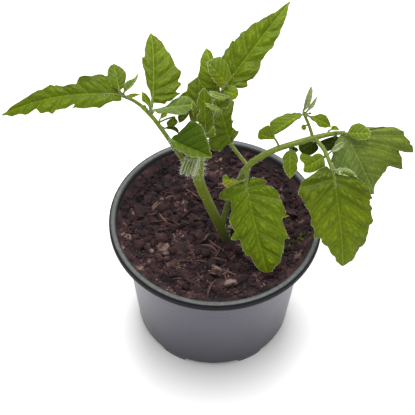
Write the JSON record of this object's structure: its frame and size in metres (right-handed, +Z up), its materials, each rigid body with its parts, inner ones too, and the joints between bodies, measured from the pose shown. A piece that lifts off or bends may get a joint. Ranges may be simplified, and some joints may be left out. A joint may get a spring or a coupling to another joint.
{
  "type": "potted tomato plant",
  "caption": "Young tomato plant with lobed, toothed leaflets on hairy stalks, standing in compost in a round black nursery pot with a flared rim.",
  "frame": {"origin": "on the ground under the middle of the pot, at the centre of its flat underside", "axes": "+Z up along the pot's axis, -Y towards the front, +X to the right seen from the front"},
  "size_m": [0.2394, 0.13, 0.2168],
  "materials": {
    "pot_plastic": "satin",
    "compost": "matte",
    "stem": "satin",
    "leaf": "satin",
    "young_growth": "matte"
  },
  "bodies": {
    "root": {"pot": "pot_plastic", "soil": "compost", "main_stem": "stem", "leaf_right": "leaf", "leaf_left": "leaf", "leaf_top": "leaf", "flower_buds": "young_growth"}
  },
  "joints": []
}
